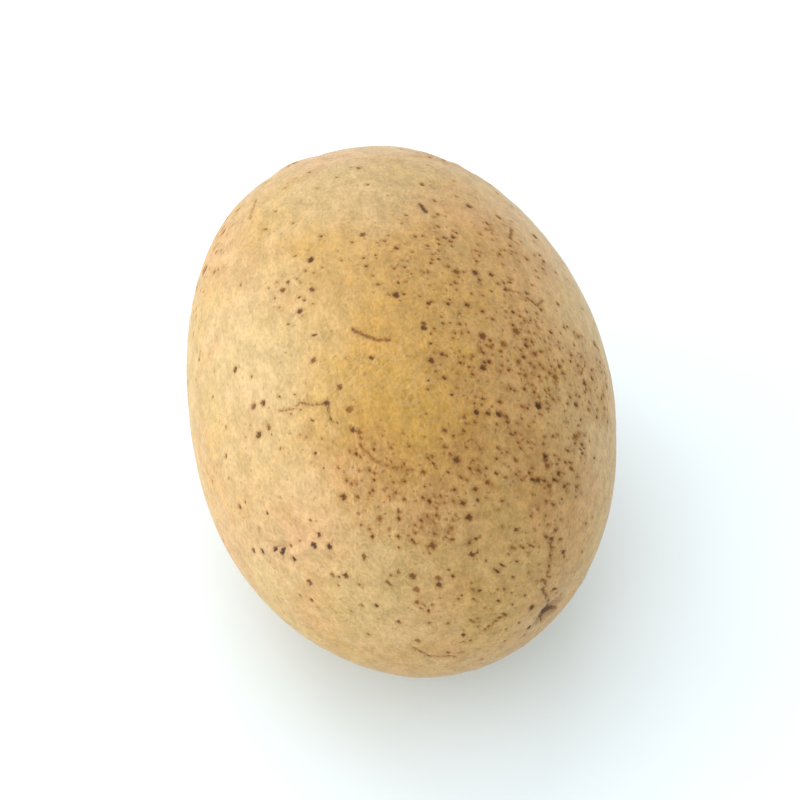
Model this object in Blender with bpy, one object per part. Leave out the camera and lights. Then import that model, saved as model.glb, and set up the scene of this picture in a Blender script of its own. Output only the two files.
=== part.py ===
"""A table potato: one whole tuber, lying on the flat spot under it.

The origin is on the surface the tuber rests on, under the middle of its box.
+X points to the stem end, where the tuber hung on its plant, so -X is the rose
end, where most of the eyes are. +Z is up. Everything is in metres.

A place on the skin is given by two angles: how far it is from the stem end, from
0 at the stem end to 180 at the rose end, and its turn round the length, from 0 on
top, through 90 on the +Y side and 180 underneath, to 270 on the -Y side.
"""
import math

import bmesh
import bpy
from mathutils import Vector

MM = 0.001

# Overall size of the tuber as it lies.
LENGTH = 84 * MM
WIDTH = 59 * MM
HEIGHT = 55 * MM

# The underside is pressed in by this much, which gives the flat spot its size.
FLAT_PRESS = 1.1 * MM

# The egg form, as shares of the tuber's own half width.
STEM_END_FULLNESS = 0.022
SHOULDER_FULLNESS = 0.014

# Slow swells and hollows of the form: from the stem end, turn, rise, reach.
# The angles and the reach are in degrees.
SWELLS = (
    (95, 80, 0.4 * MM, 26),
    (124, 48, -0.2 * MM, 16),
    (141, 357, -0.4 * MM, 14),
    (130, 304, 0.6 * MM, 22),
    (100, 270, -0.5 * MM, 28),
    (68, 242, 0.3 * MM, 22),
    (61, 108, -0.3 * MM, 22),
    (150, 110, 0.8 * MM, 30),
    (140, 205, -0.9 * MM, 26),
    (45, 170, 0.6 * MM, 28),
)

# An eye is a shallow hollow, wider round the tuber than along it. Eyes wind round
# the tuber from the stem end and crowd together at the rose end.
EYE_PLACES = (
    (38, 290),
    (66, 100),
    (92, 218),
    (118, 122),
    (132, 252),
    (147, 35),
    (158, 318),
    (166, 170),
)
EYE_DEPTH = 0.7 * MM
EYE_WIDTH = 9 * MM
EYE_LENGTH = 5 * MM

# The scar where the stem was, a round dimple a little off the end.
STEM_SCAR_PLACE = (20, 106)
STEM_SCAR_DEPTH = 1.0 * MM
STEM_SCAR_WIDTH = 7 * MM

# The skin's facets: an icosphere cut this many times, about 2.5 mm a facet.
SKIN_CUTS = 5
# A corner this near the flat spot's plane is moved onto it.
FLAT_SNAP = 0.05 * MM

SKIN_COLOUR = (0.58, 0.37, 0.15, 1.0)
SKIN_ROUGHNESS = 0.5
SKIN_METALLIC = 0.0


def clear_scene():
    """Remove whatever the file held before."""
    for item in list(bpy.data.objects):
        bpy.data.objects.remove(item, do_unlink=True)


def toward(from_stem, turn):
    """The direction from the middle of the tuber to a place on its skin."""
    polar = math.radians(from_stem)
    around = math.radians(turn)
    return Vector((
        math.cos(polar),
        math.sin(polar) * math.sin(around),
        math.sin(polar) * math.cos(around),
    ))


def egg_point(direction):
    """The plain egg form: a stretched ball, fuller at its stem end and shoulders.

    The shoulders are halfway from the middle to each end, where sin(2 * polar) is 1.
    """
    along = direction.x
    polar = math.acos(along)
    fullness = 1 + STEM_END_FULLNESS * along
    shoulder = 1 + SHOULDER_FULLNESS * math.sin(2 * polar) ** 2
    return shoulder * Vector((
        along * LENGTH / 2,
        direction.y * fullness * WIDTH / 2,
        direction.z * fullness * HEIGHT / 2,
    ))


def swell_rise(direction):
    """How far all the swells together lift the skin in a direction."""
    rise_here = 0.0
    for from_stem, turn, rise, reach in SWELLS:
        angle = math.degrees(direction.angle(toward(from_stem, turn)))
        rise_here += rise * math.exp(-(angle / reach) ** 2)
    return rise_here


def form_tuber(mesh):
    """Turn the unit ball into the tuber's form, without its eyes."""
    for corner in mesh.verts:
        direction = corner.co.normalized()
        corner.co = egg_point(direction) + direction * swell_rise(direction)


def fit_to_size(mesh):
    """Bring the form to its overall size, with the flat spot's plane at zero."""
    sizes = (LENGTH, WIDTH, HEIGHT + FLAT_PRESS)
    floors = (-LENGTH / 2, -WIDTH / 2, -FLAT_PRESS)
    for axis, (size, floor) in enumerate(zip(sizes, floors)):
        places = [corner.co[axis] for corner in mesh.verts]
        lowest = min(places)
        scale = size / (max(places) - lowest)
        for corner in mesh.verts:
            corner.co[axis] = floor + (corner.co[axis] - lowest) * scale


def press_hollow(mesh, place, depth, width, length):
    """Press an oval hollow into the skin, width round the tuber, length along it.

    It is a bell turned inwards: deepest in the middle, and fading out all round.
    """
    direction = toward(*place)
    inside = Vector((0, 0, HEIGHT / 2))
    middle = max(mesh.verts, key=lambda corner: (corner.co - inside).normalized().dot(direction))
    centre = middle.co.copy()
    inward = -middle.normal
    across = Vector((1, 0, 0)).cross(inward).normalized()
    along = inward.cross(across)
    radii = ((across, width / 2), (along, length / 2), (inward, width / 2))
    for corner in mesh.verts:
        offset = corner.co - centre
        spread = sum((offset.dot(way) / radius) ** 2 for way, radius in radii)
        corner.co += inward * depth * math.exp(-spread)


def press_flat_spot(mesh):
    """Cut the underside off level at zero and close it with one flat face."""
    everything = mesh.verts[:] + mesh.edges[:] + mesh.faces[:]
    cut = bmesh.ops.bisect_plane(
        mesh,
        geom=everything,
        dist=FLAT_SNAP,
        plane_co=(0, 0, 0),
        plane_no=(0, 0, 1),
        use_snap_center=True,
        clear_inner=True,
    )
    rim = [item for item in cut["geom_cut"] if isinstance(item, bmesh.types.BMEdge)]
    flat = bmesh.ops.contextual_create(mesh, geom=rim)["faces"]
    for face in flat:
        face.smooth = False


def skin_material():
    """Pale brown skin with a soft sheen."""
    material = bpy.data.materials.new("skin")
    material.use_nodes = True
    shader = material.node_tree.nodes["Principled BSDF"]
    shader.inputs["Base Color"].default_value = SKIN_COLOUR
    shader.inputs["Roughness"].default_value = SKIN_ROUGHNESS
    shader.inputs["Metallic"].default_value = SKIN_METALLIC
    material.diffuse_color = SKIN_COLOUR
    return material


def make_potato():
    """Build the whole tuber as one closed solid."""
    mesh = bmesh.new()
    bmesh.ops.create_icosphere(mesh, subdivisions=SKIN_CUTS, radius=1.0)
    for face in mesh.faces:
        face.smooth = True
    form_tuber(mesh)
    fit_to_size(mesh)
    mesh.normal_update()
    for place in EYE_PLACES:
        press_hollow(mesh, place, EYE_DEPTH, EYE_WIDTH, EYE_LENGTH)
    press_hollow(mesh, STEM_SCAR_PLACE, STEM_SCAR_DEPTH, STEM_SCAR_WIDTH, STEM_SCAR_WIDTH)
    press_flat_spot(mesh)
    bmesh.ops.recalc_face_normals(mesh, faces=mesh.faces[:])

    data = bpy.data.meshes.new("potato")
    mesh.to_mesh(data)
    mesh.free()
    data.materials.append(skin_material())
    potato = bpy.data.objects.new("potato", data)
    bpy.context.scene.collection.objects.link(potato)
    return potato


clear_scene()
make_potato()
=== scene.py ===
# %% [markdown]
# # A table potato
# This lesson finishes one potato. The frame brings a plain solid of the right size and form,
# with its flat spot and its shallow eye hollows, but it looks like a plastic egg. A real tuber
# has a thin waxy skin of many close colours, pores that went brown and corky, eyes with their
# buds, a stem scar and a few old scratches. All of that is made here, around the fixed solid.

# %% Load the frame
import math

import bmesh
import bpy
import numpy as np
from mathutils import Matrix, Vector, noise
from mathutils.bvhtree import BVHTree
from mathutils.kdtree import KDTree


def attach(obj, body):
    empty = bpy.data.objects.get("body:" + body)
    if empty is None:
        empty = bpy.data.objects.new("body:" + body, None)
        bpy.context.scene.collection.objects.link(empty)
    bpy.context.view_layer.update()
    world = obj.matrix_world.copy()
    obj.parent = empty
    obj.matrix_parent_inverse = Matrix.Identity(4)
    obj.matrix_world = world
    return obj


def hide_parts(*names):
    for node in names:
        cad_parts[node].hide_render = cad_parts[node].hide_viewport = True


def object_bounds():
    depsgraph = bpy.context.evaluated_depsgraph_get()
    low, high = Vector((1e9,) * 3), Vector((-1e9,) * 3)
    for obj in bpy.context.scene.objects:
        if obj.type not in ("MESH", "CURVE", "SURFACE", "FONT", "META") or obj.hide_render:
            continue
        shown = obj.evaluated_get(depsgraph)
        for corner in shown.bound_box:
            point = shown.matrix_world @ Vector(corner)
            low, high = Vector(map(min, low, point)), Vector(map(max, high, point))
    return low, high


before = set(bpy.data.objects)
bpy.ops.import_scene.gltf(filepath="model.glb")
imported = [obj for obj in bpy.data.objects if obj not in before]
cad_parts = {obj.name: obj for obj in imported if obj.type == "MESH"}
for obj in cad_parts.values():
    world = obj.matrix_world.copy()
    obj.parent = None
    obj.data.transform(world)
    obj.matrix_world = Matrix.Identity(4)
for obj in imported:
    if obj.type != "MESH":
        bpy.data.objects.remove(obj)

MM = 0.001
cad_low, cad_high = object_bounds()
middle = (cad_low + cad_high) / 2
rng = np.random.default_rng(8)
print("solid, mm:", [round(size / MM, 1) for size in cad_high - cad_low])

# %% [markdown]
# ## Places on the skin
# A tuber has no corners to measure from, so a place on its skin is told by two angles from
# its middle. The first runs from 0 at the stem end to 180 at the rose end. The second is the
# turn round the length: 0 on top, 90 on the +Y side, 180 below, 270 on the -Y side.


# %% Find a place by its two angles
def toward(from_stem, turn):
    """The direction from the tuber's middle to a place on its skin."""
    polar, around = math.radians(from_stem), math.radians(turn)
    return Vector((
        math.cos(polar),
        math.sin(polar) * math.sin(around),
        math.sin(polar) * math.cos(around),
    ))


def solid_surface(node):
    """A search tree of the solid. Its loose triangles are merged in a copy first."""
    solid = bmesh.new()
    solid.from_mesh(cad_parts[node].data)
    bmesh.ops.remove_doubles(solid, verts=solid.verts[:], dist=0.001 * MM)
    tree = BVHTree.FromBMesh(solid)
    print("solid corners after merging:", len(solid.verts))
    solid.free()
    return tree


surface = solid_surface("potato")

# %% [markdown]
# ## A ball of even squares
# The skin needs a mesh fine enough for pores a millimetre across. A UV sphere crowds its faces
# at two poles, and an icosphere has only triangles. A cube cut into squares and blown up has
# neither fault. The tangent spreads the cuts so that squares by the cube's corners don't
# shrink. Each corner is then sent out from the middle until it meets the solid, and smoothing
# takes the solid's facets away.

# %% Wrap the ball on the solid
SQUARES = 128
SMOOTHINGS = 24


def even_ball():
    """A cube of even squares, not yet round."""
    ball = bmesh.new()
    bmesh.ops.create_cube(ball, size=2.0)
    bmesh.ops.subdivide_edges(ball, edges=ball.edges[:], cuts=SQUARES - 1, use_grid_fill=True)
    for face in ball.faces:
        face.smooth = True
    return ball


def wrap_on_solid(ball):
    """Blow the cube up until every corner lies on the solid, then smooth the facets away."""
    for corner in ball.verts:
        spread = Vector([math.tan(side * math.pi / 4) for side in corner.co])
        corner.co = surface.ray_cast(middle, spread.normalized())[0]
    for _ in range(SMOOTHINGS):
        bmesh.ops.smooth_vert(
            ball, verts=ball.verts[:], factor=0.5,
            use_axis_x=True, use_axis_y=True, use_axis_z=True,
        )


ball = even_ball()
cube_places = np.array([corner.co for corner in ball.verts])
wrap_on_solid(ball)
skin = bpy.data.meshes.new("potato_skin")
ball.to_mesh(skin)
ball.free()
print("skin squares:", len(skin.polygons))

# %% [markdown]
# ## Moving the skin like clay
# From here the corners are moved by rules, as a sculpting brush would. It is quicker to hold
# them all in one array than to visit them one by one. Every rule gives a rise for each corner,
# and the corner moves along its normal. Nothing is let below the table.


# %% Helpers that move the skin
def corner_values(name):
    """One kind of three numbers of every corner, as rows of an array."""
    values = np.empty(len(skin.vertices) * 3)
    skin.vertices.foreach_get(name, values)
    return values.reshape(-1, 3)


def lift(rise):
    """Move every corner out by its own rise, in metres."""
    places = corner_values("co") + corner_values("normal") * rise[:, None]
    places[:, 2] = np.maximum(places[:, 2], 0)
    skin.vertices.foreach_set("co", places.ravel())
    skin.update()


def lumps(size, seed):
    """Soft noise from about -1 to 1 at every corner, in lumps of about this size."""
    shift = Vector((seed * 3.7, seed * 1.9, seed * 5.3))
    return np.array([noise.noise(Vector(place) / size + shift) for place in corner_values("co")])


def fade(value, none, full):
    """0 where value is at none, 1 where it is at full, with a soft step between."""
    share = np.clip((value - none) / (full - none), 0, 1)
    return share * share * (3 - 2 * share)


def keep(name, values):
    """Keep one number for each corner on the mesh, where the finish can read it."""
    skin.attributes.new(name, "FLOAT", "POINT").data.foreach_set("value", values)


# %% [markdown]
# ## Slow unevenness
# A tuber swells against stones and packed soil, so its skin is never a clean curve. Two sizes
# of soft lumps, about a fifth of a millimetre high, are enough to break up the highlights.
# They fade out close to the table, which keeps the flat spot flat.

# %% Add slow unevenness
# a lump's height and its width
WIDE_LUMPS = (0.20 * MM, 17 * MM)
SMALL_LUMPS = (0.07 * MM, 7 * MM)
# how far over the table the changes start, and where they are whole
TABLE_FADE = (0.3 * MM, 4 * MM)

above_table = fade(corner_values("co")[:, 2], *TABLE_FADE)
unevenness = WIDE_LUMPS[0] * lumps(WIDE_LUMPS[1], seed=1)
unevenness += SMALL_LUMPS[0] * lumps(SMALL_LUMPS[1], seed=2)
lift(above_table * unevenness)
print("highest lump, mm:", round(float(unevenness.max()) / MM, 2))

# %% [markdown]
# ## Eyes
# An eye is a row of small buds in the fold behind a raised brow. The brow was a leaf's
# foot, so it lies on the stem side. The solid has the hollows already, at the same angles.
# Here each one gets its brow and its fold, and its buds come later, with the other marks. The
# brow and fold are two bells side by side along a bent line, one raised and one sunk.

# %% Raise the brows and press the folds
# from the stem end, turn, tilt of the row, how many buds fall at random
EYES = (
    (38, 290, 40, 0),
    (66, 100, 10, 4),
    (92, 218, -15, 5),
    (118, 122, 20, 5),
    (132, 252, 12, 4),
    (147, 35, -18, 5),
    (158, 318, 25, 4),
    (166, 170, 0, 6),
)
EYE_HALF_WIDTH = 5.0 * MM
BROW_BACK = 1.3 * MM
BROW_BEND = 1.4 * MM
BROW_RISE = 0.42 * MM
BROW_REACH = 0.9 * MM
FOLD_STEP = 1.0 * MM
FOLD_DEPTH = 0.50 * MM
FOLD_REACH = 0.6 * MM
# a change fades out this far above and below its place, so that the far side stays as it is
NEAR_SIDE = 3 * MM


def axes_at(from_stem, turn, tilt=0):
    """A place's point and three directions: across the tuber, to the rose end, and out."""
    point, out = surface.ray_cast(middle, toward(from_stem, turn))[:2]
    across = Vector((1, 0, 0)).cross(out).normalized()
    rose = across.cross(out)
    cos, sin = math.cos(math.radians(tilt)), math.sin(math.radians(tilt))
    return point, across * cos + rose * sin, rose * cos - across * sin, out


def measured_from(axes):
    """How far every corner is from a place, across, toward the rose end, and out."""
    point, *directions = axes
    return (corner_values("co") - np.array(point)) @ np.array(directions).T


def brow_line(across):
    """Where the brow runs: bent, with its ends toward the rose end."""
    return -BROW_BACK + BROW_BEND * (across / EYE_HALF_WIDTH) ** 2


def bell(distance, reach):
    """1 where the distance is zero, fading out on both sides."""
    return np.exp(-((distance / reach) ** 2))


def eye_rise(from_stem, turn, tilt):
    """The rise of one brow and its fold, over the whole skin."""
    across, rose, out = measured_from(axes_at(from_stem, turn, tilt)).T
    from_brow = rose - brow_line(across)
    brow = BROW_RISE * bell(from_brow, BROW_REACH)
    fold = FOLD_DEPTH * bell(from_brow - FOLD_STEP, FOLD_REACH)
    ends = np.exp(-((across / EYE_HALF_WIDTH) ** 4)) * bell(out, NEAR_SIDE)
    return ends * (brow - fold)


for from_stem, turn, tilt, _ in EYES:
    lift(eye_rise(from_stem, turn, tilt))
print("eyes:", len(EYES))

# %% [markdown]
# ## Stem scar
# Where the tuber broke off its underground stem there is a small dry crater. Its rim is
# puckered, because the skin dried and shrank round it. The pucker is a wave round the middle.

# %% Pucker the stem scar
STEM_SCAR = (20, 106)
SCAR_RADIUS = 2.6 * MM
CRATER_DEPTH = 0.45 * MM
CRATER_REACH = 0.6 * SCAR_RADIUS
RIM_RISE = 0.16 * MM
RIM_REACH = 0.9 * MM
PUCKERS = 9
PUCKER_RISE = 0.08 * MM
# how far the puckers swing from side to side as they run out, in radians
PUCKER_SWING = 1.5


def scar_rise():
    """The rise of the crater and its puckered rim."""
    across, rose, out = measured_from(axes_at(*STEM_SCAR)).T
    distance = np.hypot(across, rose)
    swing = PUCKER_SWING * np.sin(distance / MM)
    pucker = PUCKER_RISE * np.cos(PUCKERS * np.arctan2(rose, across) + swing)
    rim = (RIM_RISE + pucker) * bell(distance - SCAR_RADIUS, RIM_REACH)
    crater = CRATER_DEPTH * bell(distance, CRATER_REACH)
    return bell(out, NEAR_SIDE) * (rim - crater)


crater_rise = scar_rise()
lift(crater_rise)
print("stem scar, mm deep:", round(float(-crater_rise.min()) / MM, 2))

# %% [markdown]
# ## Where the skin is russet, mustard or pale, and where light is painted
# Some of the skin is rougher, browner and full of pores, some is a fuller yellow, and some is
# pale. The pale patches are partly paler skin and partly painted highlight, on the -Y side and
# the top, which face the softboxes. Each patch is a round spot with a reach in millimetres, and
# noise pushes its edge in and out. The result is one number for each corner, from 0 outside the
# patches to 1.

# %% Lay out the patches
# from the stem end, turn, reach in millimetres, strength
RUSSET_SPOTS = (
    (58, 28, 15, 1.0),
    (42, 39, 12, 0.85),
    (64, 58, 9, 0.8),
    (37, 18, 10, 0.8),
    (30, 347, 9, 0.9),
    (28, 357, 8, 1.0),
    (9, 60, 8, 0.4),
    (40, 333, 6, 0.7),
    (50, 326, 5, 0.35),
    (86, 16, 14, 0.6),
    (102, 34, 9, 0.5),
    (95, 330, 8, 0.25),
    (112, 14, 10, 0.25),
    (24, 306, 7, 0.2),
    (24, 54, 11, 0.5),
    (16, 350, 12, 0.25),
    (58, 312, 10, 0.2),
    (100, 130, 17, 0.8),
    (70, 205, 15, 0.5),
    (148, 60, 12, 0.6),
    (135, 290, 13, 0.5),
    (165, 200, 14, 0.9),
    (104, 262, 9, 0.4),
)
MUSTARD_SPOTS = (
    (66, 354, 17, 1.0),
    (46, 356, 13, 1.0),
    (92, 356, 11, 0.9),
    (103, 342, 11, 0.8),
    (52, 14, 12, 0.6),
    (96, 170, 16, 0.8),
    (150, 250, 13, 0.7),
    (130, 95, 10, 0.6),
)
# pale skin, and painted highlight where the -Y side and the top face the softboxes
PALE_AND_LIT_SPOTS = (
    (80, 312, 15, 1.0),
    (60, 300, 12, 0.8),
    (126, 352, 14, 1.0),
    (40, 284, 11, 0.9),
    (97, 318, 11, 1.0),
    (47, 307, 8, 0.8),
    (77, 333, 7, 0.6),
    (20, 311, 7, 0.6),
    (16, 300, 11, 0.7),
    (50, 60, 9, 0.7),
    (120, 215, 15, 0.8),
    (60, 150, 12, 0.8),
    (160, 20, 12, 0.6),
)


# how far noise pushes a spot's edge, in millimetres, and the size of its lumps
WIDE_EDGE = (3, 6 * MM)
FINE_EDGE = (2, 2.5 * MM)
# a spot fades between these shares of its reach
SPOT_OUTER = 1.15
SPOT_INNER = 0.3


def spot_map(spots, seed):
    """How far every corner is inside a list of spots, from 0 to 1."""
    ragged = WIDE_EDGE[0] * lumps(WIDE_EDGE[1], seed) + FINE_EDGE[0] * lumps(FINE_EDGE[1], seed + 1)
    most = np.zeros(len(skin.vertices))
    for from_stem, turn, reach, strength in spots:
        offsets = measured_from(axes_at(from_stem, turn))
        distance = np.linalg.norm(offsets, axis=1) / MM + ragged
        inside = fade(distance, SPOT_OUTER * reach, SPOT_INNER * reach)
        most = np.maximum(most, strength * inside)
    return most


russet = spot_map(RUSSET_SPOTS, seed=3)
keep("russet", russet)
keep("mustard", spot_map(MUSTARD_SPOTS, seed=11))
# the pale patches: paler skin, and painted highlight on the side and top that face the softboxes
keep("pale", spot_map(PALE_AND_LIT_SPOTS, seed=13))
print("russet share of the skin:", round(float(russet.mean()), 2))

# %% [markdown]
# ## Pores, pits and scratches
# Every small dark mark is a disc or a short stroke with a radius and a tone, from 0 for light
# brown to 1 for nearly black. The mesh keeps the gap to the nearest mark's edge, in
# millimetres, and not a colour: a gap changes evenly between two corners, so the finish can
# draw a crisp edge that is finer than the squares. The same gap sinks the pits.

# %% Keep the gap to the nearest mark
FAR_GAP = 1.6
corner_tree = KDTree(len(skin.vertices))
for index, place in enumerate(corner_values("co")):
    corner_tree.insert(place, index)
corner_tree.balance()
mark_gap = np.full(len(skin.vertices), FAR_GAP)
mark_tone = np.zeros(len(skin.vertices))


def add_mark(start, end, radius, tone):
    """Add a stroke from start to end, or a disc where they are the same. Radius is in mm."""
    start, end = Vector(start), Vector(end)
    run = end - start
    reach = run.length / 2 + (radius + FAR_GAP) * MM
    for place, index, _ in corner_tree.find_range((start + end) / 2, reach):
        share = 0
        if run.length:
            share = min(max((place - start).dot(run) / run.length_squared, 0), 1)
        gap = (place - start - run * share).length / MM - radius
        if gap < mark_gap[index]:
            mark_gap[index] = gap
            mark_tone[index] = tone


def on_skin(from_stem, turn):
    """The point on the skin at two angles."""
    point = surface.ray_cast(middle, toward(from_stem, turn))[0]
    return corner_tree.find(point)[0]


print("marks can be laid on corners:", len(mark_gap))

# %% [markdown]
# The marks that give this potato its face are listed one by one: one curved scratch, a crack with
# a corner, a hooked nick, the dry cracks by the stem scar and the largest pores.

# %% Place the marks that are listed one by one
# radius in millimetres, tone, then the places that the stroke runs through
STROKES = (
    (0.26, 0.10, (73, 343), (70, 346), (68, 349), (67, 352)),
    (0.13, 0.10, (62, 315), (60, 319), (60, 322), (58, 325), (57, 329)),
    (0.36, 0.60, (57, 329), (57, 330)),
    (0.20, 0.25, (57, 330), (52, 329)),
    (0.18, 0.20, (82, 37), (80, 40), (83, 43)),
    (0.22, 0.35, (111, 41), (106, 38)),
    (0.22, 0.35, (24, 60), (21, 68), (18, 80), (19, 94)),
    (0.20, 0.25, (24, 60), (25, 54)),
    (0.25, 0.30, (8, 76), (5, 90)),
    (0.18, 0.20, (130, 317), (137, 318)),
    (0.32, 0.60, (116, 12), (113, 13)),
    (0.16, 0.15, (9, 252), (8, 228), (7, 200), (6, 170)),
    (0.14, 0.05, (44, 335), (40, 337), (37, 343), (36, 349)),
)
# from the stem end, turn, radius in millimetres, tone
LARGE_PORES = (
    (102, 336, 0.50, 0.8),
    (81, 357, 0.50, 0.7),
    (96, 326, 0.42, 0.4),
    (91, 335, 0.38, 0.4),
    (86, 330, 0.42, 0.5),
    (69, 330, 0.40, 0.3),
    (82, 305, 0.44, 0.5),
    (67, 311, 0.46, 0.6),
    (61, 305, 0.48, 0.6),
    (59, 335, 0.42, 0.3),
    (48, 334, 0.42, 0.5),
    (47, 336, 0.36, 0.0),
    (117, 28, 0.46, 0.6),
    (106, 352, 0.40, 0.3),
    (102, 18, 0.40, 0.5),
    (88, 22, 0.46, 0.6),
    (50, 37, 0.54, 0.9),
    (46, 22, 0.44, 0.7),
    (46, 14, 0.44, 0.7),
    (55, 53, 0.44, 0.5),
    (57, 18, 0.46, 0.6),
    (36, 6, 0.50, 0.5),
    (39, 41, 0.46, 0.7),
    (34, 40, 0.44, 0.5),
    (25, 300, 0.46, 0.5),
    (13, 343, 0.48, 0.5),
    (46, 276, 0.40, 0.6),
    (43, 279, 0.42, 0.8),
    (40, 285, 0.42, 0.9),
    (38, 286, 0.55, 1.0),
    (35, 289, 0.42, 0.9),
    (33, 300, 0.50, 0.8),
    (34, 305, 0.40, 0.6),
    (31, 305, 0.46, 0.9),
)

for radius, tone, *stops in STROKES:
    for start, end in zip(stops, stops[1:]):
        add_mark(on_skin(*start), on_skin(*end), radius, tone)
for from_stem, turn, radius, tone in LARGE_PORES:
    pore = on_skin(from_stem, turn)
    add_mark(pore, pore, radius, tone)
print("strokes:", len(STROKES), "large pores:", len(LARGE_PORES))

# %% [markdown]
# The buds lie in each eye's fold, so their places come from the same bent line as the brow.
# A fine crease runs from each bud along the fold. The first eye has had its buds already,
# among the large pores listed above.

# %% Place the buds in the eyes
# how far out the last bud of a row lies, as a share of the eye's half width
ROW_END = 0.85
# smallest and largest radius in millimetres, lightest and darkest tone
BUD_RADII = (0.28, 0.62)
BUD_TONES = (0.55, 1.0)
# how much a bud's place varies, as a share of the eye's half width, and across the fold
SIDE_SCATTER = 0.07
FOLD_SCATTER = 0.25 * MM
CREASE_LENGTH = 1.2 * MM
CREASE_RADIUS = 0.12
CREASE_TONE = 0.2

for from_stem, turn, tilt, buds in EYES:
    point, across, rose, _ = axes_at(from_stem, turn, tilt)
    for share in np.linspace(-ROW_END, ROW_END, buds):
        side = (share + rng.normal(0, SIDE_SCATTER)) * EYE_HALF_WIDTH
        along = brow_line(side) + FOLD_STEP + rng.normal(0, FOLD_SCATTER)
        bud = corner_tree.find(point + across * side + rose * along)[0]
        add_mark(bud, bud, rng.uniform(*BUD_RADII), rng.uniform(*BUD_TONES))
        crease = corner_tree.find(point + across * (side + CREASE_LENGTH) + rose * along)[0]
        add_mark(bud, crease, CREASE_RADIUS, CREASE_TONE)
print("buds at random:", sum(eye[3] for eye in EYES))

# %% [markdown]
# The stem scar gets a ragged dark hole where the stem tore off, a smaller one beside it, and
# short dry cracks that run out from it between the puckers.

# %% Place the stem scar's marks
HOLE_DISCS = 8
HOLE_REACH = 0.9
HOLE_RADII = (0.30, 0.55)
HOLE_TONES = (0.7, 1.0)
# its place from the stem end and its turn, its radius in millimetres and its tone
SIDE_HOLE = (16, 116)
SIDE_HOLE_RADIUS = 0.45
SIDE_HOLE_TONE = 0.9
SCAR_CRACKS = 9
# how far from the middle a crack starts and ends, and its radius, all in millimetres
CRACK_STARTS = (1.1, 1.5)
CRACK_ENDS = (1.9, 3.2)
CRACK_RADII = (0.10, 0.18)
CRACK_TONE = 0.3
# how uneven the cracks' spacing is, as a share, and how far one bends, in radians
CRACK_SPACING = 0.6
CRACK_BEND = 0.3


def near_scar(distance, angle):
    """The corner of the skin at a distance and an angle from the stem scar's middle."""
    point, across, rose, _ = axes_at(*STEM_SCAR)
    step = across * math.cos(angle) + rose * math.sin(angle)
    return corner_tree.find(point + step * distance * MM)[0]


for _ in range(HOLE_DISCS):
    hole = near_scar(rng.uniform(0, HOLE_REACH), rng.uniform(0, 2 * math.pi))
    add_mark(hole, hole, rng.uniform(*HOLE_RADII), rng.uniform(*HOLE_TONES))
for number in range(SCAR_CRACKS):
    angle = (number + rng.uniform(0, CRACK_SPACING)) * 2 * math.pi / SCAR_CRACKS
    inner = rng.uniform(*CRACK_STARTS)
    outer = rng.uniform(*CRACK_ENDS)
    bent = angle + rng.uniform(-CRACK_BEND, CRACK_BEND)
    radius = rng.uniform(*CRACK_RADII)
    add_mark(near_scar(inner, angle), near_scar(outer, bent), radius, CRACK_TONE)
side_hole = on_skin(*SIDE_HOLE)
add_mark(side_hole, side_hole, SIDE_HOLE_RADIUS, SIDE_HOLE_TONE)
print("scar marks:", HOLE_DISCS + SCAR_CRACKS + 1)

# %% [markdown]
# The other pores fall at random, but about twenty times closer on russet skin. A pore is
# seldom round, so each is a disc with up to two more against it.

# %% Scatter the other pores
# pores for each square millimetre
CLEAN_PORES = 0.03
RUSSET_PORES = 0.62
# the rest is in millimetres
PORE_APART = 0.4
USUAL_PORE = 0.17
LARGEST_PORE = 0.5
# how much the pores' sizes vary, as a power of e
PORE_VARIETY = 0.5
PORE_TONES = (0.0, 0.6)
# the discs against a pore: how many at most, how far off and how large, as shares of its radius
MOST_BESIDE = 2
BESIDE_STEP = 1.1
BESIDE_RADII = (0.5, 0.8)


def corner_areas():
    """The skin's area round each corner, in square millimetres."""
    sides = np.empty(len(skin.polygons))
    skin.polygons.foreach_get("area", sides)
    corners = np.empty(len(skin.loops), int)
    skin.loops.foreach_get("vertex_index", corners)
    shares = np.repeat(sides / 4, 4) / MM ** 2
    return np.bincount(corners, shares, len(skin.vertices))


def scatter_pores():
    """Add pores over the whole skin, and count them."""
    density = CLEAN_PORES + (RUSSET_PORES - CLEAN_PORES) * russet
    chosen = np.flatnonzero(rng.random(len(density)) < density * corner_areas())
    places = corner_values("co")
    count = 0
    for index in rng.permutation(chosen):
        if mark_gap[index] < PORE_APART:
            continue
        place = places[index]
        radius = min(USUAL_PORE * rng.lognormal(0, PORE_VARIETY), LARGEST_PORE)
        tone = rng.uniform(*PORE_TONES)
        add_mark(place, place, radius, tone)
        for _ in range(rng.integers(0, MOST_BESIDE + 1)):
            beside = place + rng.normal(0, BESIDE_STEP * radius, 3) * MM
            add_mark(beside, beside, radius * rng.uniform(*BESIDE_RADII), tone)
        count += 1
    return count


print("pores scattered:", scatter_pores())
keep("mark_gap", mark_gap)
keep("mark_tone", mark_tone)

# %% [markdown]
# Now the marks are pressed in. A pore is a small pit with a faint raised ring of cork round
# it. Russet skin gets a fine grain of its own.

# %% Press the marks and roughen the russet
PIT_DEPTH = 0.16 * MM
# the gaps between which a pit deepens, and how far out the ring's crest and its foot are
PIT_EDGE = (0.15, -0.35)
RING_CREST = 0.35
RING_REACH = 0.3
RING_RISE = 0.05 * MM
GRAIN_RISE = 0.03 * MM
GRAIN_LUMP = 1.1 * MM

pits = PIT_DEPTH * fade(mark_gap, *PIT_EDGE)
rings = RING_RISE * bell(mark_gap - RING_CREST, RING_REACH)
grain = GRAIN_RISE * russet * lumps(GRAIN_LUMP, seed=5)
lift(above_table * (rings - pits + grain))
print("deepest pit, mm:", round(float(pits.max()) / MM, 2))

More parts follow.
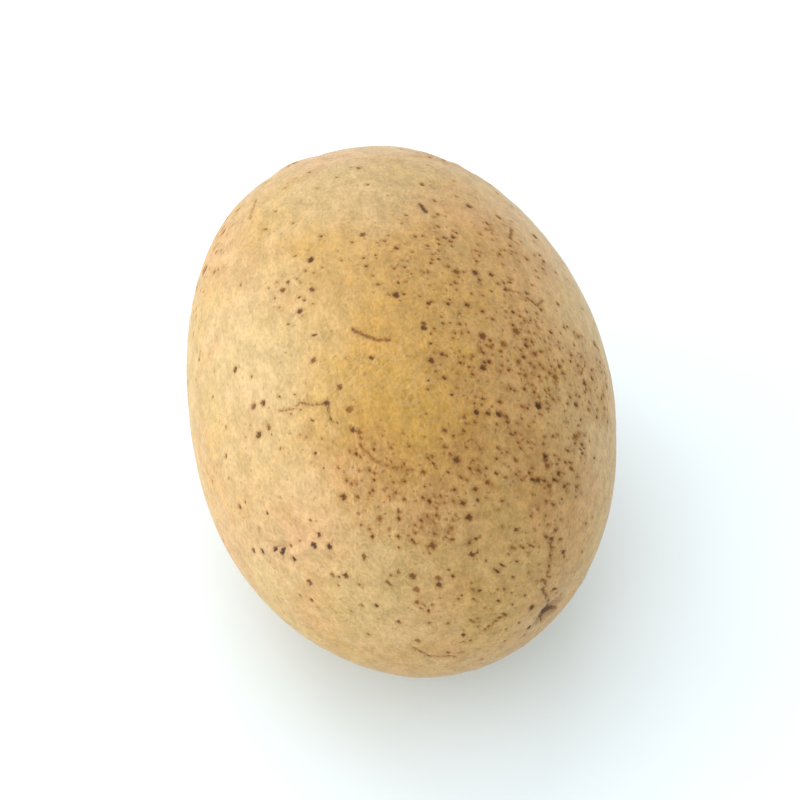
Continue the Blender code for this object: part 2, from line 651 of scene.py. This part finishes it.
# %% [markdown]
# ## Colour round the eyes and the stem scar
# The skin round an eye holds more colour and looks faintly red, in an oval a little wider than
# the eye. The stem scar is grey-brown cork, in a round patch. The mesh keeps the blush from 0
# to 1, and for the scar the distance to its middle, in millimetres.

# %% Keep the blush and the distance to the scar
BLUSH_HALF_WIDTH = 7.5 * MM
BLUSH_HALF_LENGTH = 4.5 * MM
BLUSH_REACH = 6 * MM
# the blush's usual strength, how far noise moves it, and the size of that noise
BLUSH_LEVEL = 0.75
BLUSH_UNEVEN = 0.5
BLUSH_LUMP = 3 * MM
# the end of the tuber with the scar on it, as a depth below the scar's middle
SCAR_END = 8 * MM
BEYOND_END = 1000
# how ragged the scar's edge is, in millimetres, and the size of its lumps
SCAR_RAGGED = 0.7
SCAR_LUMP = 1.5 * MM


def eye_blush():
    """How strongly every corner blushes, from 0 to 1."""
    most = np.zeros(len(skin.vertices))
    for from_stem, turn, tilt, _ in EYES:
        across, rose, out = measured_from(axes_at(from_stem, turn, tilt)).T
        oval = np.hypot(across / BLUSH_HALF_WIDTH, rose / BLUSH_HALF_LENGTH)
        most = np.maximum(most, bell(oval, 1) * bell(out, BLUSH_REACH))
    return most * (BLUSH_LEVEL + BLUSH_UNEVEN * lumps(BLUSH_LUMP, seed=6))


def distance_to_scar():
    """A ragged distance to the scar's middle, which grows fast past the tuber's end."""
    across, rose, out = measured_from(axes_at(*STEM_SCAR)).T
    distance = np.hypot(across, rose) / MM + BEYOND_END * np.maximum(-out - SCAR_END, 0)
    return distance + SCAR_RAGGED * lumps(SCAR_LUMP, seed=7)


keep("blush", eye_blush())
keep("scar_gap", distance_to_scar())
kept_names = [kind.name for kind in skin.attributes if kind.data_type == "FLOAT"]
print("numbers kept on the mesh:", kept_names)

# %% [markdown]
# ## A flat map of the skin
# The six sides of the cube still exist as six patches of squares. Laid side by side on one
# picture, three across and two up, they make a map with little stretch and no overlap. Baking
# tools can draw the finish on it.

# %% Lay the six sides out flat
MAP_MARGIN = 0.004


def lay_out_map():
    """Give every face corner its place on the flat map."""
    layer = skin.uv_layers.new(name="OFBake")
    vertex_of = np.empty(len(skin.loops), int)
    skin.loops.foreach_get("vertex_index", vertex_of)
    squares = cube_places[vertex_of].reshape(-1, 4, 3)
    centres = squares.mean(axis=1)
    axis = np.abs(centres).argmax(axis=1)
    positive = np.take_along_axis(centres, axis[:, None], 1)[:, 0] > 0
    first, second = (axis + 1) % 3, (axis + 2) % 3
    across = np.take_along_axis(squares, first[:, None, None], 2)[:, :, 0]
    up = np.take_along_axis(squares, second[:, None, None], 2)[:, :, 0]
    across = np.where(positive[:, None], across, -across)
    inner = 0.5 - MAP_MARGIN
    across = (axis[:, None] + 0.5) / 3 + across * inner / 3
    up = (positive[:, None] + 0.5) / 2 + up * inner / 2
    layer.uv.foreach_set("vector", np.stack([across, up], -1).astype(np.float32).ravel())


lay_out_map()
print("maps:", [layer.name for layer in skin.uv_layers])

# %% [markdown]
# ## Wiring a finish
# A finish is a net of nodes, and a net written out node by node is hard to read. This small
# helper adds one node for each step and takes either a number or another node's output
# as an input, so that a finish below reads like a recipe.


# %% A helper for wiring nodes
class Wiring:
    """Adds nodes to one tree and joins them."""

    def __init__(self, tree):
        self.tree = tree
        tree.nodes.clear()

    def node(self, kind, inputs=None, **settings):
        """Add a node. Inputs go by name or number: a value to set, or an output to join."""
        made = self.tree.nodes.new("ShaderNode" + kind)
        for name, value in settings.items():
            setattr(made, name, value)
        for name, value in (inputs or {}).items():
            self.join(value, made.inputs[name])
        return made

    def join(self, value, socket):
        """Join an output to an input, or set the input to a value."""
        if isinstance(value, bpy.types.NodeSocket):
            self.tree.links.new(value, socket)
        else:
            socket.default_value = value

    def sum(self, operation, first, second=0.0, third=0.0):
        """A Math node, such as ADD or MULTIPLY."""
        inputs = {0: first, 1: second, 2: third}
        return self.node("Math", inputs, operation=operation).outputs[0]

    def moved(self, operation, first, second):
        """A Vector Math node."""
        return self.node("VectorMath", {0: first, 1: second}, operation=operation).outputs[0]

    def ramp(self, value, none, full, low=0.0, high=1.0):
        """A soft step from low, where value is at none, to high, where it is at full."""
        inputs = {"Value": value, "From Min": none, "From Max": full, "To Min": low, "To Max": high}
        return self.node("MapRange", inputs, interpolation_type="SMOOTHSTEP").outputs[0]

    def mix(self, share, first, second, blend="MIX"):
        """Mix two colours. The sockets are numbered because several kinds share their names."""
        inputs = {0: share, 6: first, 7: second}
        return self.node("Mix", inputs, data_type="RGBA", blend_type=blend).outputs[2]

    def tinted(self, colour, red, green, blue):
        """Multiply each part of a colour by its own number."""
        tint = self.node("CombineColor", {0: red, 1: green, 2: blue}).outputs[0]
        return self.mix(1.0, colour, tint, blend="MULTIPLY")

    def noise(self, vector, scale, detail, output="Fac"):
        """Soft noise. Scale is how many lumps fit in a millimetre."""
        inputs = {"Vector": vector, "Scale": scale, "Detail": detail}
        return self.node("TexNoise", inputs).outputs[output]

    def kept(self, name):
        """A number that was kept on the mesh."""
        return self.node("Attribute", attribute_name=name).outputs["Fac"]


def screen_colour(red, green, blue):
    """A colour given as a screen shows it, 0 to 255, as the light it stands for."""
    return tuple(
        share / 12.92 if share <= 0.04045 else ((share + 0.055) / 1.055) ** 2.4
        for share in (red / 255, green / 255, blue / 255)
    ) + (1.0,)


def new_group(name, inputs, output="Mask"):
    """A node group with number inputs, a Vector input and one number output."""
    tree = bpy.data.node_groups.new(name, "ShaderNodeTree")
    tree.interface.new_socket("Vector", in_out="INPUT", socket_type="NodeSocketVector")
    for label, value in inputs.items():
        socket = tree.interface.new_socket(label, in_out="INPUT", socket_type="NodeSocketFloat")
        socket.default_value = value
    tree.interface.new_socket(output, in_out="OUTPUT", socket_type="NodeSocketFloat")
    wire = Wiring(tree)
    given = tree.nodes.new("NodeGroupInput").outputs
    result = tree.nodes.new("NodeGroupOutput").inputs[output]
    return tree, wire, given, result


print("wiring steps:", [name for name in vars(Wiring) if not name.startswith("_")])

# %% [markdown]
# ## Three patterns, each used several times
# Patches are soft clouds, cut at a chosen cover. Specks are one dot in each cell of a random
# net, shown only in the share of cells that is asked for. Cracks are the walls between the
# cells, and patches hide most of them, so that only short pieces are left. All sizes are
# in millimetres, because the vector that comes in is measured in millimetres.


# %% Build the patterns
def patches_group():
    """Soft clouds of one size. Cover is the share of the skin they take."""
    tree, wire, given, result = new_group(
        "patches", {"Size": 10.0, "Cover": 0.5, "Softness": 0.1, "Detail": 2.0}
    )
    scale = wire.sum("DIVIDE", 1.0, given["Size"])
    cloud = wire.noise(given["Vector"], scale, given["Detail"])
    # most of the noise lies between 0.25 and 0.75
    cut = wire.ramp(given["Cover"], 0.0, 1.0, 0.75, 0.25)
    low = wire.sum("SUBTRACT", cut, given["Softness"])
    high = wire.sum("ADD", cut, given["Softness"])
    wire.join(wire.ramp(cloud, low, high), result)
    return tree


def specks_group():
    """Dots in the cells of a random net. Radius is a dot's, Share is how many cells have one."""
    tree, wire, given, result = new_group("specks", {"Cell": 2.0, "Radius": 0.3, "Share": 0.5})
    scale = wire.sum("DIVIDE", 1.0, given["Cell"])
    cells = wire.node("TexVoronoi", {"Vector": given["Vector"], "Scale": scale}).outputs
    distance = wire.sum("MULTIPLY", cells["Distance"], given["Cell"])
    solid_part = wire.sum("MULTIPLY", given["Radius"], 0.45)
    dot = wire.ramp(distance, given["Radius"], solid_part)
    chance = wire.node("SeparateColor", {0: cells["Color"]}).outputs[0]
    shown = wire.sum("LESS_THAN", chance, given["Share"])
    wire.join(wire.sum("MULTIPLY", dot, shown), result)
    return tree


def cracks_group():
    """Thin lines along the walls of a random net."""
    tree, wire, given, result = new_group("cracks", {"Cell": 5.0, "Width": 0.12})
    scale = wire.sum("DIVIDE", 1.0, given["Cell"])
    inputs = {"Vector": given["Vector"], "Scale": scale}
    cells = wire.node("TexVoronoi", inputs, feature="DISTANCE_TO_EDGE").outputs
    distance = wire.sum("MULTIPLY", cells["Distance"], given["Cell"])
    wire.join(wire.ramp(distance, given["Width"], 0.0), result)
    return tree


PATCHES = patches_group()
SPECKS = specks_group()
CRACKS = cracks_group()


def pattern(wire, tree, vector, **values):
    """Place one of the patterns in a finish, with its own values."""
    made = wire.node("Group", node_tree=tree)
    wire.join(vector, made.inputs["Vector"])
    for name, value in values.items():
        wire.join(value, made.inputs[name])
    return made.outputs["Mask"]


print("patterns:", [tree.name for tree in (PATCHES, SPECKS, CRACKS)])

# %% [markdown]
# ## The skin's colour
# The skin is ochre, and its shades differ by very little: olive, pinkish tan and cream lie in
# clouds, and the kept patches add mustard where the skin is fullest, and cream where it is
# palest and as painted highlight on the -Y side and the top. On that lie the russet, the blush,
# a fine mottle, the specks and the small cracks. Last come the marks: a brown stain round each
# one, and then its dark middle.

# %% Choose the skin's colours
OCHRE = screen_colour(177, 141, 74)
MUSTARD = screen_colour(173, 132, 48)
# also the colour of the pale patches, which are partly painted highlight
CREAM = screen_colour(181, 155, 105)
OLIVE = screen_colour(176, 147, 80)
PINK_TAN = screen_colour(184, 136, 86)
BLUSH = screen_colour(190, 138, 100)
RUSSET = screen_colour(158, 114, 60)
SPECK_BROWN = screen_colour(126, 84, 30)
FLAKE = screen_colour(198, 166, 114)
STAIN = screen_colour(148, 100, 32)
MARK_LIGHT = screen_colour(124, 74, 14)
MARK_DARK = screen_colour(56, 29, 2)
SCAR = screen_colour(104, 74, 44)
print("ochre as light:", [round(share, 3) for share in OCHRE])

# %% [markdown]
# ### Clean skin
# Clean skin could be one ochre, but then it looks dyed. Four layers of clouds lay its close
# shades over each other. Each layer reads the pattern from another spot, so that no two have
# the same outline, and then the kept patches go on top.

# %% Lay the clouds of clean skin
# colour, strength, where the pattern is read, and the pattern's values
CLOUDS = (
    (OLIVE, 0.25, (40, 10, 5), {"Size": 10, "Cover": 0.38, "Softness": 0.12}),
    (PINK_TAN, 0.5, (5, 60, 20), {"Size": 12, "Cover": 0.48, "Softness": 0.12}),
    (CREAM, 0.35, (25, 35, 70), {"Size": 15, "Cover": 0.40, "Softness": 0.14}),
    (CREAM, 0.3, (80, 15, 45), {"Size": 4.0, "Cover": 0.35, "Softness": 0.1}),
)
MUSTARD_STRENGTH = 0.8
# how strongly cream covers the pale patches, which are partly painted highlight
PALE_AND_LIT_STRENGTH = 0.65


def clean_skin(wire, place):
    """The close shades of clean skin, with cream over the pale patches, which are partly painted
    highlight.
    """
    colour = OCHRE
    for shade, strength, shift, values in CLOUDS:
        cloud = pattern(wire, PATCHES, wire.moved("ADD", place, shift), **values)
        colour = wire.mix(wire.sum("MULTIPLY", cloud, strength), colour, shade)
    mustard = wire.sum("MULTIPLY", wire.kept("mustard"), MUSTARD_STRENGTH)
    colour = wire.mix(mustard, colour, MUSTARD)
    # cream over the pale patches: paler skin, and painted highlight on the -Y side and the top
    pale = wire.sum("MULTIPLY", wire.kept("pale"), PALE_AND_LIT_STRENGTH)
    return wire.mix(pale, colour, CREAM)


print("cloud layers:", len(CLOUDS))

# %% [markdown]
# ### Russet, blush and mottle
# Russet is a thin brown cork, broken up into small patches, which show where the kept russet is
# strong. The mottle is an unevenness, coarse and fine, in how deep the skin's colour is. Its
# lumps are a little longer along the tuber than across it.

# %% Add the russet, the blush and the mottle
RUSSET_STRENGTH = 0.55
BLUSH_STRENGTH = 0.5
# the mottle's lumps are longer along the tuber by one over this
ALONG = (0.6, 1.0, 1.0)
# most of a noise node's values lie between these two
NOISE_LOW = 0.3
NOISE_HIGH = 0.7
# what the coarse mottle multiplies red and green by, and blue, and what the fine one does
SHADE_RANGE = (0.86, 1.14)
BLUE_RANGE = (0.76, 1.20)
DUST_RANGE = (0.88, 1.12)


def russet_and_blush(wire, colour, wobbly, russet):
    """Brown cork in small patches, and the faint red round the eyes."""
    broken = pattern(wire, PATCHES, wobbly, Size=3.0, Cover=0.6, Softness=0.15, Detail=4)
    broken = wire.sum("MULTIPLY", broken, wire.sum("MULTIPLY", russet, RUSSET_STRENGTH))
    colour = wire.mix(broken, colour, RUSSET)
    blush = wire.sum("MULTIPLY", wire.kept("blush"), BLUSH_STRENGTH)
    return wire.mix(blush, colour, BLUSH)


def mottle(wire, colour, place):
    """A coarse and a fine unevenness in how deep the colour is."""
    long = wire.moved("MULTIPLY", place, ALONG)
    coarse = wire.noise(long, scale=0.55, detail=6.0)
    shade = wire.ramp(coarse, NOISE_LOW, NOISE_HIGH, *SHADE_RANGE)
    blue = wire.ramp(coarse, NOISE_LOW, NOISE_HIGH, *BLUE_RANGE)
    colour = wire.tinted(colour, shade, shade, blue)
    fine = wire.noise(long, scale=2.4, detail=3.0)
    dust = wire.ramp(fine, NOISE_LOW, NOISE_HIGH, *DUST_RANGE)
    return wire.tinted(colour, dust, dust, dust)


print("russet and blush strengths:", RUSSET_STRENGTH, BLUSH_STRENGTH)

# %% [markdown]
# ### The smallest details
# These are too small and too many for the mesh to keep: a faint net of raised cork, brown
# specks, pale flakes of dead skin and hair-fine cracks. The patterns draw them all. The net and
# the cracks are functions of their own, because the relief needs them again.

# %% Add the net, the specks, the flakes and the fine cracks
NET_STRENGTH = 0.3
FLAKE_STRENGTH = 0.35
CRACK_STRENGTH = 0.4
# the share of the net's cells with a speck, and the specks' strength, on clean skin and russet
SPECK_SHARES = (0.3, 0.95)
SPECK_STRENGTHS = (0.4, 0.75)


def netting(wire, wobbly):
    """Faint raised cork in a net, on about half of the skin."""
    lines = pattern(wire, CRACKS, wobbly, Cell=1.4, Width=0.32)
    shown = pattern(wire, PATCHES, wobbly, Size=8, Cover=0.5, Softness=0.2)
    return wire.sum("MULTIPLY", lines, shown)


def fine_cracks(wire, wobbly):
    """Short fine cracks: a net of lines, mostly hidden."""
    lines = pattern(wire, CRACKS, wobbly, Cell=5.0, Width=0.12)
    shown = pattern(wire, PATCHES, wobbly, Size=2.6, Cover=0.26, Softness=0.05)
    return wire.sum("MULTIPLY", lines, shown)


def smallest_details(wire, colour, wobbly, russet):
    """The net, the specks, the flakes and the fine cracks, one over the other."""
    net = wire.sum("MULTIPLY", netting(wire, wobbly), NET_STRENGTH)
    colour = wire.mix(net, colour, FLAKE)
    share = wire.ramp(russet, 0.0, 1.0, *SPECK_SHARES)
    specks = pattern(wire, SPECKS, wobbly, Cell=1.0, Radius=0.3, Share=share)
    specks = wire.sum("MULTIPLY", specks, wire.ramp(russet, 0.0, 1.0, *SPECK_STRENGTHS))
    colour = wire.mix(specks, colour, SPECK_BROWN)
    aside = wire.moved("ADD", wobbly, (9, 4, 7))
    flakes = pattern(wire, SPECKS, aside, Cell=1.5, Radius=0.36, Share=0.35)
    colour = wire.mix(wire.sum("MULTIPLY", flakes, FLAKE_STRENGTH), colour, FLAKE)
    cracks = wire.sum("MULTIPLY", fine_cracks(wire, wobbly), CRACK_STRENGTH)
    return wire.mix(cracks, colour, SPECK_BROWN)


print("net, flake and crack strengths:", NET_STRENGTH, FLAKE_STRENGTH, CRACK_STRENGTH)

# %% [markdown]
# ### Stains, marks and the scar
# The kept gap draws every mark twice: a wide soft stain, and inside it the crisp dark core,
# whose colour the kept tone picks. The grey-brown of the stem scar goes over them.

# %% Draw the marks
# the gaps in millimetres between which a stain, a core and the scar's colour come up
STAIN_EDGE = (0.5, 0.05)
CORE_EDGE = (0.14, -0.22)
SCAR_EDGE = (3.4, 1.2)
# a stain's strength on clean skin and russet, and a core's where it is light and where dark
STAIN_STRENGTHS = (0.25, 0.6)
CORE_STRENGTHS = (0.75, 1.0)
SCAR_STRENGTH = 0.45


def marked(wire, colour, russet, gap):
    """A colour with the stains, the dark marks and the stem scar drawn over it."""
    stain = wire.ramp(gap, *STAIN_EDGE)
    stain = wire.sum("MULTIPLY", stain, wire.ramp(russet, 0.0, 1.0, *STAIN_STRENGTHS))
    colour = wire.mix(stain, colour, STAIN)
    tone = wire.kept("mark_tone")
    core = wire.ramp(gap, *CORE_EDGE)
    core = wire.sum("MULTIPLY", core, wire.ramp(tone, 0.0, 0.5, *CORE_STRENGTHS))
    colour = wire.mix(core, colour, wire.mix(tone, MARK_LIGHT, MARK_DARK))
    scar = wire.ramp(wire.kept("scar_gap"), *SCAR_EDGE)
    return wire.mix(wire.sum("MULTIPLY", scar, SCAR_STRENGTH), colour, SCAR)


print("widest stain, mm from a mark's edge:", STAIN_EDGE[0])

# %% [markdown]
# ## The skin's sheen and relief
# Clean skin is waxy and soft in its shine, and russet, cork and scars are dull. The relief
# here is finer than the mesh, so it is a bump: heights in millimetres go in, and the bump
# node's distance turns them into metres.

# %% Set the sheen and the relief
CLEAN_ROUGHNESS = 0.42
RUSSET_ROUGHNESS = 0.58
# what the grain adds to it, and what a mark adds between two gaps in millimetres
UNEVEN_ROUGHNESS = (-0.05, 0.07)
MARK_ROUGHNESS = 0.2
MARK_SHEEN_EDGE = (0.2, -0.1)
# heights in millimetres
CLEAN_GRAIN = 0.09
RUSSET_GRAIN = 0.15
WRINKLE_RISE = 0.12
PORE_DEPTH = 0.12
NET_RISE = 0.04
CRACK_DEPTH = 0.04
# the gaps in millimetres between which a pore deepens
PORE_EDGE = (0.1, -0.3)


def sheen(wire, russet, gap, grain):
    """The roughness: low on clean skin, higher on russet, highest in the marks."""
    roughness = wire.ramp(russet, 0.0, 1.0, CLEAN_ROUGHNESS, RUSSET_ROUGHNESS)
    uneven = wire.ramp(grain, NOISE_LOW, NOISE_HIGH, *UNEVEN_ROUGHNESS)
    roughness = wire.sum("ADD", roughness, uneven)
    marks = wire.ramp(gap, *MARK_SHEEN_EDGE, 0.0, MARK_ROUGHNESS)
    return wire.sum("ADD", roughness, marks)


def relief(wire, wobbly, russet, gap, grain):
    """The fine heights, in millimetres, as the bump node's normal."""
    height = wire.sum("MULTIPLY", grain, wire.ramp(russet, 0.0, 1.0, CLEAN_GRAIN, RUSSET_GRAIN))
    wrinkle = wire.noise(wobbly, scale=0.7, detail=2.0)
    height = wire.sum("MULTIPLY_ADD", wrinkle, WRINKLE_RISE, height)
    height = wire.sum("MULTIPLY_ADD", wire.ramp(gap, *PORE_EDGE), -PORE_DEPTH, height)
    height = wire.sum("MULTIPLY_ADD", netting(wire, wobbly), NET_RISE, height)
    height = wire.sum("MULTIPLY_ADD", fine_cracks(wire, wobbly), -CRACK_DEPTH, height)
    bump = wire.node("Bump", {"Strength": 1.0, "Distance": MM, "Height": height})
    return bump.outputs[0]


print("roughness, clean and russet:", CLEAN_ROUGHNESS, RUSSET_ROUGHNESS)

# %% [markdown]
# ## Put the finish together
# The patterns read the object's own coordinates, turned into millimetres. A second set of
# them is pushed about by noise, which bends the straight walls of the nets. The gap gets a
# ragged edge in the same way. A little light passes under the skin and comes out again, and
# subsurface scattering stands for that.

# %% Make the skin's finish
# how far noise pushes the patterns, and how far it makes a mark's edge ragged, in millimetres
WOBBLE = 0.9
RAGGED = 0.16
SKIN_IOR = 1.46
# the share of the light that passes under the skin, and how far red, green and blue go
UNDER_SKIN = 0.12
UNDER_SKIN_REACH = 1.5 * MM
UNDER_SKIN_SHARES = (1.0, 0.5, 0.2)


def wobbled(wire, place):
    """The place, pushed about by noise."""
    push = wire.noise(place, scale=1.1, detail=2.0, output="Color")
    push = wire.moved("SUBTRACT", push, (0.5, 0.5, 0.5))
    return wire.moved("ADD", place, wire.moved("MULTIPLY", push, (WOBBLE, WOBBLE, WOBBLE)))


def ragged_gap(wire, place):
    """The gap to the nearest mark, with an uneven edge."""
    uneven = wire.noise(place, scale=2.6, detail=3.0)
    uneven = wire.ramp(uneven, 0.2, 0.8, -RAGGED, RAGGED)
    return wire.sum("ADD", wire.kept("mark_gap"), uneven)


def skin_finish():
    """The potato's skin."""
    material = bpy.data.materials.new("potato_skin")
    material.use_nodes = True
    wire = Wiring(material.node_tree)
    spot = wire.node("TexCoord").outputs["Object"]
    place = wire.node("Mapping", {"Vector": spot, "Scale": (1 / MM, 1 / MM, 1 / MM)}).outputs[0]
    wobbly = wobbled(wire, place)
    gap = ragged_gap(wire, place)
    russet = wire.kept("russet")
    grain = wire.noise(place, scale=2.2, detail=4.0)

    colour = clean_skin(wire, place)
    colour = russet_and_blush(wire, colour, wobbly, russet)
    colour = mottle(wire, colour, place)
    colour = smallest_details(wire, colour, wobbly, russet)
    shader = wire.node("BsdfPrincipled", {
        "Base Color": marked(wire, colour, russet, gap),
        "Roughness": sheen(wire, russet, gap, grain),
        "Normal": relief(wire, wobbly, russet, gap, grain),
        "IOR": SKIN_IOR,
        "Subsurface Weight": UNDER_SKIN,
        "Subsurface Radius": UNDER_SKIN_SHARES,
        "Subsurface Scale": UNDER_SKIN_REACH,
    })
    output = wire.node("OutputMaterial")
    wire.join(shader.outputs[0], output.inputs["Surface"])
    return material


finish = skin_finish()
print("skin finish nodes:", len(finish.node_tree.nodes))

# %% [markdown]
# ## Put the skin in the frame
# The skin becomes an object at the origin, with its place in its mesh. It rides on the only
# body, and the plain solid is hidden, so that the skin stands in its place.

# %% Place the potato
potato_skin = bpy.data.objects.new("potato_skin", skin)
bpy.context.scene.collection.objects.link(potato_skin)
skin.materials.append(finish)
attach(potato_skin, "root")
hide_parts("potato")
print("potato, mm:", [round(size / MM, 1) for size in potato_skin.dimensions])

# %% [markdown]
# ## Table
# The potato lies on a plain pale table, one flat square far wider than the view. It is very
# slightly blue, so that its lit part is white and its shadow is cool.

# %% Lay the table
TABLE_SIZE = 12.0
TABLE_COLOUR = (0.80, 0.90, 0.95, 1.0)
TABLE_ROUGHNESS = 0.6


def pale_table():
    """A plain pale top, which is no part of the potato."""
    top = bmesh.new()
    bmesh.ops.create_grid(top, x_segments=1, y_segments=1, size=TABLE_SIZE / 2)
    data = bpy.data.meshes.new("table_top")
    top.to_mesh(data)
    top.free()
    table = bpy.data.objects.new("table_top", data)
    bpy.context.scene.collection.objects.link(table)
    material = bpy.data.materials.new("pale_table")
    material.use_nodes = True
    shader = material.node_tree.nodes["Principled BSDF"]
    shader.inputs["Base Color"].default_value = TABLE_COLOUR
    shader.inputs["Roughness"].default_value = TABLE_ROUGHNESS
    data.materials.append(material)


pale_table()
print("table, m:", TABLE_SIZE)

# %% [markdown]
# ## Standing things round the potato
# A light or a camera is placed by two angles and a distance, and it looks along its own -Z
# axis. Turning that axis toward the potato's middle aims it.


# %% Write the helpers that aim lights and the camera
def seen_from(azimuth, elevation):
    """The direction from the potato to a viewer. Azimuth 0 is at -Y and 90 at +X."""
    turn, rise = math.radians(azimuth), math.radians(elevation)
    level = math.cos(rise)
    return Vector((math.sin(turn) * level, -math.cos(turn) * level, math.sin(rise)))


def stand(item, azimuth, elevation, distance):
    """Stand a light or a camera round the potato, turned toward its middle."""
    made = bpy.data.objects.new(item.name, item)
    bpy.context.scene.collection.objects.link(made)
    direction = seen_from(azimuth, elevation)
    made.location = middle + direction * distance
    made.rotation_euler = (-direction).to_track_quat("-Z", "Y").to_euler()
    return made


print("the +X side is seen from:", [round(share, 2) for share in seen_from(90, 0)])

# %% [markdown]
# ## Light
# A white world lights the potato softly from all round. Three softboxes stand low in a row to
# the left of the camera, two stand higher behind, and a weak one fills the right. Together
# they shade the tuber from left to right and give its skin a soft shine.

# %% Light the potato
ROOM_LIGHT = 0.95
SOFTBOX_SIZE = 0.5
SOFTBOX_DISTANCE = 1.0
# where each softbox stands, azimuth and elevation, and its power in watts
SOFTBOXES = (
    (330, 15, 2.8),
    (0, 15, 2.8),
    (36, 15, 2.8),
    (259, 45, 1.9),
    (300, 45, 1.9),
    (190, 15, 0.6),
)


def softbox(azimuth, elevation, power):
    """A square white light with soft edges to its shadows."""
    light = bpy.data.lights.new("softbox", "AREA")
    light.size = SOFTBOX_SIZE
    light.energy = power
    return stand(light, azimuth, elevation, SOFTBOX_DISTANCE)


def white_world():
    """Even white light from all round."""
    world = bpy.data.worlds.new("white_room")
    world.use_nodes = True
    background = world.node_tree.nodes["Background"]
    background.inputs["Color"].default_value = (1.0, 1.0, 1.0, 1.0)
    background.inputs["Strength"].default_value = ROOM_LIGHT
    bpy.context.scene.world = world


white_world()
for azimuth, elevation, power in SOFTBOXES:
    softbox(azimuth, elevation, power)
print("softboxes:", len(SOFTBOXES))

# %% [markdown]
# ## Camera
# The camera looks down at the stem end through a long lens, so that the form isn't stretched.
# The Standard view transform shows the mixed colours as they are.

# %% Place the camera
VIEW_AZIMUTH = 79
VIEW_ELEVATION = 50
VIEW_DISTANCE = 0.65
LENS = 210

camera = bpy.data.cameras.new("camera")
camera.lens = LENS
bpy.context.scene.camera = stand(camera, VIEW_AZIMUTH, VIEW_ELEVATION, VIEW_DISTANCE)
bpy.context.scene.view_settings.view_transform = "Standard"
print("camera, m:", [round(share, 3) for share in bpy.context.scene.camera.location])

# %% [markdown]
# The finished skin has to stay inside the solid's box, apart from a hair.
